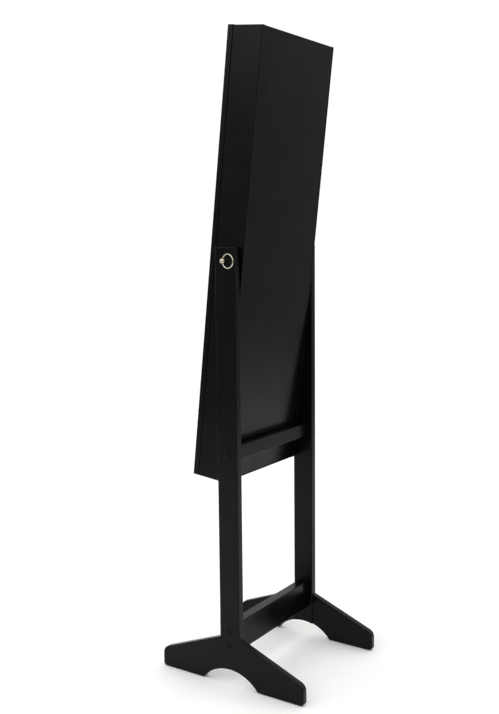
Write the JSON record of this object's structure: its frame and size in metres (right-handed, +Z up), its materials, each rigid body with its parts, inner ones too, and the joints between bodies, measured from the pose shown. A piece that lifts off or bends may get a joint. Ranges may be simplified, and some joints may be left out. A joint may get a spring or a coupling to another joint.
{
  "type": "jewelry armoire",
  "caption": "Cheval jewelry armoire: a shallow cabinet with a full-length mirror door, tilting between the posts of an arched-foot stand.",
  "frame": {"origin": "on the floor, midway between the feet", "axes": "+Z up; the mirror door faces -Y and the back panel faces +Y; +X is the door's lock side and -X its hinge side"},
  "size_m": [0.378, 0.388, 1.4686],
  "materials": {
    "black_lacquer": "satin black lacquer on fibreboard",
    "fitting_lacquer": "matt black lacquer on thin boards",
    "black_velvet": "short-pile black velvet",
    "velvet_wrap": "wooden rod wrapped in black velvet",
    "pale_brass": "polished pale brass plate",
    "nickel_hardware": "satin nickel plate",
    "zinc_steel": "bright zinc plate",
    "black_steel": "black oxide",
    "felt": "dense grey felt",
    "rubber": "soft black rubber",
    "black_nylon": "moulded black plastic",
    "beech": "bare beech",
    "mirror": "silvered float glass",
    "hardboard": "bare hardboard"
  },
  "bodies": {
    "stand": {"left_post": "black_lacquer", "right_post": "black_lacquer", "left_foot": "black_lacquer", "right_foot": "black_lacquer", "upper_crossbar": "black_lacquer", "lower_stretcher": "black_lacquer", "crossbar_bolts": "black_steel", "stretcher_bolts": "black_steel", "barrel_nuts": "zinc_steel", "foot_lap_screws": "black_steel", "foot_pads": "felt", "stop_bumpers": "rubber", "pivot_sleeves": "black_steel", "pivot_washers": "black_nylon"},
    "left_pivot": {"left_pivot_bolt": "pale_brass"},
    "right_pivot": {"right_pivot_bolt": "pale_brass"},
    "left_ring": {"left_pull_ring": "pale_brass"},
    "right_ring": {"right_pull_ring": "pale_brass"},
    "cabinet": {"cabinet_left_side": "black_lacquer", "cabinet_right_side": "black_lacquer", "cabinet_top": "black_lacquer", "cabinet_bottom": "black_lacquer", "cabinet_back_panel": "black_lacquer", "back_lining": "black_velvet", "side_linings": "black_velvet", "corner_dowels": "beech", "pivot_inserts": "nickel_hardware", "necklace_rail": "fitting_lacquer", "necklace_hooks": "nickel_hardware", "ring_tray_boards": "fitting_lacquer", "ring_pad": "black_velvet", "ring_rolls": "black_velvet", "storage_shelves": "fitting_lacquer", "shelf_lips": "fitting_lacquer", "bottom_dividers": "fitting_lacquer", "bracelet_rod": "velvet_wrap", "rod_sockets": "nickel_hardware", "catch_body": "black_nylon", "lock_strike": "zinc_steel", "cabinet_hinge_leaves": "nickel_hardware", "cabinet_hinge_screws": "nickel_hardware", "hinge_pins": "nickel_hardware"},
    "door": {"door_left_stile": "black_lacquer", "door_right_stile": "black_lacquer", "door_top_rail": "black_lacquer", "door_bottom_rail": "black_lacquer", "mirror_glass": "mirror", "mirror_backing": "hardboard", "door_lining": "black_velvet", "earring_slats": "fitting_lacquer", "earring_uprights": "fitting_lacquer", "door_hook_rail": "fitting_lacquer", "door_hooks": "nickel_hardware", "catch_plate": "zinc_steel", "door_hinge_leaves": "nickel_hardware", "door_hinge_screws": "nickel_hardware", "lock_housing": "nickel_hardware"},
    "lock": {"lock_plug": "nickel_hardware", "lock_cam": "zinc_steel"}
  },
  "joints": [
    {"name": "cabinet_tilt", "type": "hinge", "parent": "stand", "child": "cabinet", "pos_m": [0, 0, 0.97], "axis": [-1, 0, 0], "range_deg": [0, 14]},
    {"name": "door_swing", "type": "hinge", "parent": "cabinet", "child": "door", "pos_m": [-0.1559, -0.04034, 0.9746], "axis": [0, -0.1132, -0.9936], "range_deg": [0, 110]},
    {"name": "left_pivot_turn", "type": "hinge", "parent": "stand", "child": "left_pivot", "pos_m": [-0.183, 0, 0.97], "axis": [-1, 0, 0], "range_deg": [-180, 180]},
    {"name": "right_pivot_turn", "type": "hinge", "parent": "stand", "child": "right_pivot", "pos_m": [0.183, 0, 0.97], "axis": [1, 0, 0], "range_deg": [-180, 180]},
    {"name": "left_ring_swing", "type": "hinge", "parent": "left_pivot", "child": "left_ring", "pos_m": [-0.183, 0, 0.97], "axis": [0, 0, 1], "range_deg": [-170, 14]},
    {"name": "right_ring_swing", "type": "hinge", "parent": "right_pivot", "child": "right_ring", "pos_m": [0.183, 0, 0.97], "axis": [0, 0, 1], "range_deg": [-170, 14]},
    {"name": "lock_turn", "type": "hinge", "parent": "door", "child": "lock", "pos_m": [0.1325, -0.05565, 0.96834], "axis": [0, -0.9936, 0.1132], "range_deg": [0, 90]}
  ]
}
